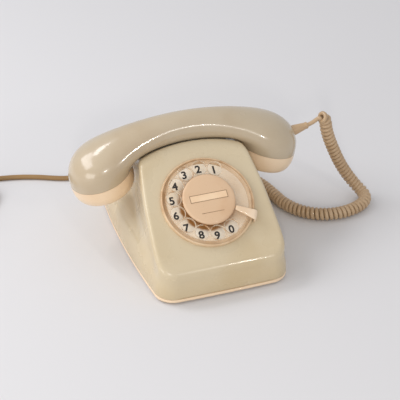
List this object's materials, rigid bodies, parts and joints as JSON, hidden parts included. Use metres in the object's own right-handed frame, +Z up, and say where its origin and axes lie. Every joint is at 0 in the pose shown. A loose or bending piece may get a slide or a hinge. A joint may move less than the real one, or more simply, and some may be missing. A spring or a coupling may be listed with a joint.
{
  "type": "rotary telephone",
  "caption": "Desk telephone with a rotary dial: waisted housing on a base plate, lift-off handset, curled handset cord, coiled line cord and plug.",
  "frame": {"origin": "on the floor under the middle of the base", "axes": "+X right along the handset, +Y to the back, +Z up; the dial faces the front and up"},
  "size_m": [0.434, 0.279, 0.1295],
  "materials": {
    "housing": "slightly glossy moulded plastic, yellowed",
    "handset": "glossy moulded plastic",
    "trim": "satin moulded plastic, yellowed to peach",
    "rubber": "matt",
    "steel": "satin",
    "board": "paper laminate",
    "board_post": "matt",
    "iron": "varnished laminations",
    "capacitor": "matt",
    "terminal": "matt",
    "zinc": "zinc plated",
    "winding": "lacquered wire under tape",
    "gong": "polished",
    "contact": "spring bronze",
    "plunger": "smooth",
    "dial_rim": "glossy, browned",
    "number_ring": "glossy",
    "brass": "satin",
    "clear": "clear acrylic",
    "centre": "satin",
    "card": "paper card",
    "spring_steel": "blued",
    "ivory": "satin",
    "capsule": "satin",
    "cord_gland": "matt",
    "line": "satin",
    "curl": "satin",
    "tie": "matt",
    "plug": "glossy"
  },
  "bodies": {
    "base": {"base_plate": "trim", "base_screws": "steel", "board_standoffs": "board_post", "capacitors": "capacitor", "circuit_board": "board", "coil_tie": "tie", "dial_bezel": "dial_rim", "dial_bridge": "zinc", "dial_plate": "zinc", "dial_posts": "brass", "finger_stop": "ivory", "gong_left": "gong", "gong_posts": "steel", "gong_right": "gong", "governor_cup": "brass", "handset_cord": "curl", "handset_cord_gland": "cord_gland", "handset_cord_leads": "curl", "hook_bracket": "zinc", "hook_contacts": "contact", "hook_pivot_pin": "steel", "hook_spring": "steel", "housing_cover": "housing", "line_cord": "line", "line_cord_coil": "line", "line_cord_gland": "cord_gland", "line_cord_tail": "line", "line_plug": "plug", "line_transformer": "iron", "number_ring": "number_ring", "plug_pins": "brass", "pulse_contacts": "contact", "return_spring": "spring_steel", "ringer_coils": "winding", "ringer_yoke": "zinc", "rubber_feet": "rubber", "terminal_block": "terminal", "wheel_bracket": "terminal"},
    "dial": {"finger_disc": "clear", "centre_disc": "centre", "label_card": "card", "dial_shaft": "steel", "main_gear": "brass"},
    "pinion": {"pinion_arbor": "steel", "second_gear": "brass", "pulse_cam": "terminal"},
    "governor": {"governor_arbor": "steel", "governor_weights": "brass"},
    "handset": {"handset_shell": "handset", "ear_cap": "trim", "mouth_cap": "trim", "receiver_capsule": "capsule", "transmitter_capsule": "capsule", "handset_cord_relief": "curl"},
    "hook_lever": {"hook_lever": "terminal"},
    "plunger_left": {"plunger_left": "plunger"},
    "plunger_right": {"plunger_right": "plunger"},
    "clapper": {"clapper": "zinc"},
    "volume_wheel": {"volume_wheel": "trim"}
  },
  "joints": [
    {"name": "dial_turn", "type": "hinge", "parent": "base", "child": "dial", "pos_m": [0, -0.06061, 0.07377], "axis": [0, 0.5821, -0.8131], "range_deg": [0, 308.57], "stiffness_Nm_per_rad": 0.004, "springref_deg": -114.59},
    {"name": "pinion_turn", "type": "hinge", "parent": "base", "child": "pinion", "pos_m": [0, -0.07139, 0.0476], "axis": [0, 0.5821, -0.8131], "range_deg": [-2160.99, 0.5]},
    {"name": "governor_turn", "type": "hinge", "parent": "base", "child": "governor", "pos_m": [0.01175, -0.06905, 0.03698], "axis": [0, 0.5821, -0.8131], "range_deg": [-0.5, 8640.96]},
    {"name": "handset_lift", "type": "slide", "parent": "base", "child": "handset", "axis": [0, 0, 1], "range_m": [0, 0.1]},
    {"name": "hook_lever_tilt", "type": "hinge", "parent": "base", "child": "hook_lever", "pos_m": [0, 0.047, 0.06], "axis": [-1, 0, 0], "range_deg": [0, 10.2]},
    {"name": "plunger_left_rise", "type": "slide", "parent": "base", "child": "plunger_left", "axis": [0, 0, 1], "range_m": [0, 0.00605]},
    {"name": "plunger_right_rise", "type": "slide", "parent": "base", "child": "plunger_right", "axis": [0, 0, 1], "range_m": [0, 0.00605]},
    {"name": "clapper_swing", "type": "hinge", "parent": "base", "child": "clapper", "pos_m": [0, 0.046, 0.02], "axis": [0, 0, 1], "range_deg": [-3.5, 3.5], "stiffness_Nm_per_rad": 0.01},
    {"name": "volume_wheel_turn", "type": "hinge", "parent": "base", "child": "volume_wheel", "pos_m": [0, 0.062, 0.004], "axis": [0, 0, 1], "range_deg": [0, 90]}
  ],
  "couplings": [
    {"joint": "pinion_turn", "follows": "dial_turn", "ratio": -7},
    {"joint": "governor_turn", "follows": "dial_turn", "ratio": 28},
    {"joint": "hook_lever_tilt", "follows": "handset_lift", "rad_per_m": 1.7279},
    {"joint": "plunger_left_rise", "follows": "handset_lift", "ratio": 0.06},
    {"joint": "plunger_right_rise", "follows": "handset_lift", "ratio": 0.06}
  ]
}
